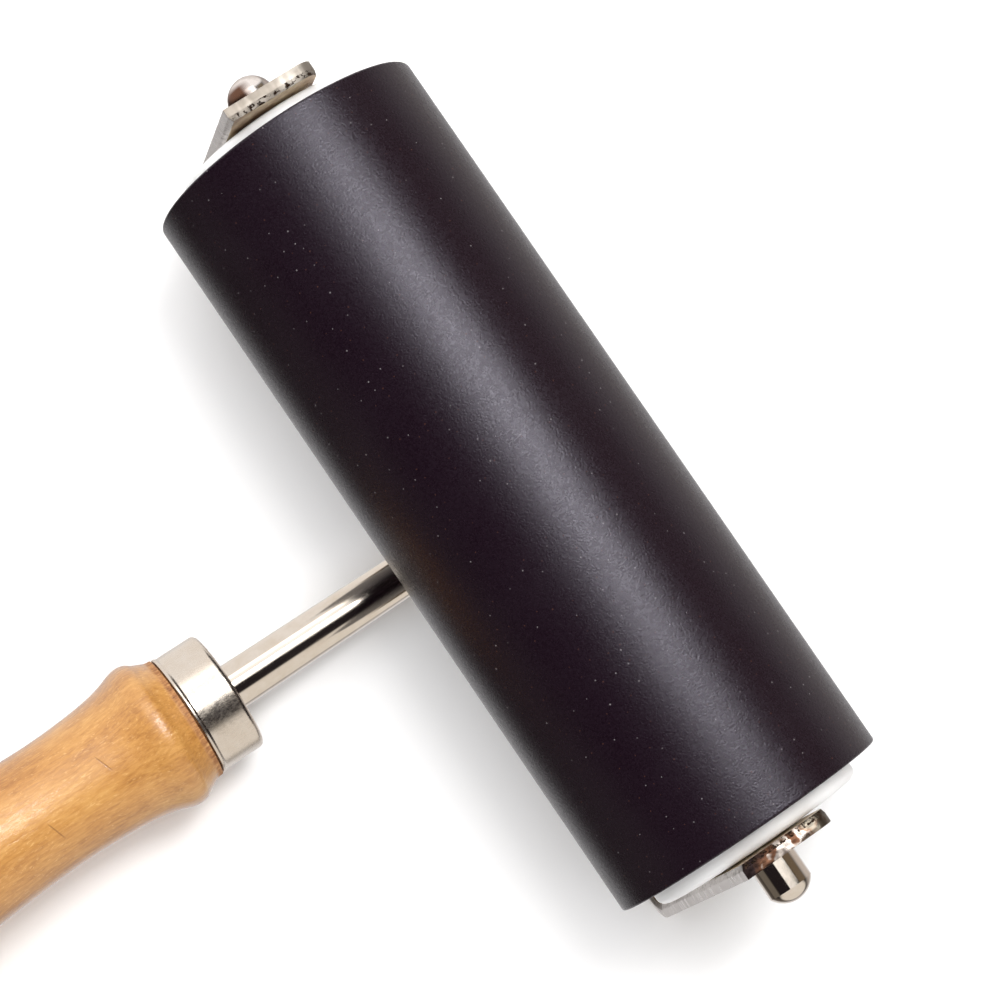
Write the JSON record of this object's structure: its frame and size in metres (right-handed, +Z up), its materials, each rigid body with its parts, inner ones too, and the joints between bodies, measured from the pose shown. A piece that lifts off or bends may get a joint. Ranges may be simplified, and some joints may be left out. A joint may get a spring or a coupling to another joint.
{
  "type": "rubber brayer",
  "caption": "Hand ink roller: a black rubber roller with white end caps spins in a nickel-plated yoke on a stem with a turned, lacquered wooden handle.",
  "frame": {"origin": "on the ground, under the middle of the tool's bounding box, with the tool lying on its back", "axes": "+X towards the wooden handle, +Y along the roller's axis towards the flat axle nut, +Z up"},
  "size_m": [0.2166, 0.1818, 0.0605],
  "materials": {
    "black_rubber": "satin, finely ground",
    "core_tube": "mill",
    "white_plastic": "moulded, semi-gloss",
    "washer_plastic": "plain",
    "bronze": "sintered, oiled",
    "nickel_plate": "nickel plated, polished",
    "lacquered_wood": "honey stained, gloss lacquer"
  },
  "bodies": {
    "frame": {"yoke": "nickel_plate", "spindle": "nickel_plate", "axle_nut_domed": "nickel_plate", "axle_nut_flat": "nickel_plate", "thrust_washer_domed_end": "washer_plastic", "thrust_washer_flat_end": "washer_plastic", "stem": "nickel_plate", "weld_bead_upper": "nickel_plate", "weld_bead_domed_end": "nickel_plate", "weld_bead_flat_end": "nickel_plate", "ferrule": "nickel_plate", "wood_handle": "lacquered_wood"},
    "roller": {"rubber_sleeve": "black_rubber", "core_tube": "core_tube", "end_cap_domed_end": "white_plastic", "end_cap_flat_end": "white_plastic", "bush_domed_end": "bronze", "bush_flat_end": "bronze"}
  },
  "joints": [
    {"name": "roller_spin", "type": "hinge", "parent": "frame", "child": "roller", "pos_m": [-0.08091, 0, 0.03317], "axis": [0, 1, 0], "continuous": true}
  ]
}
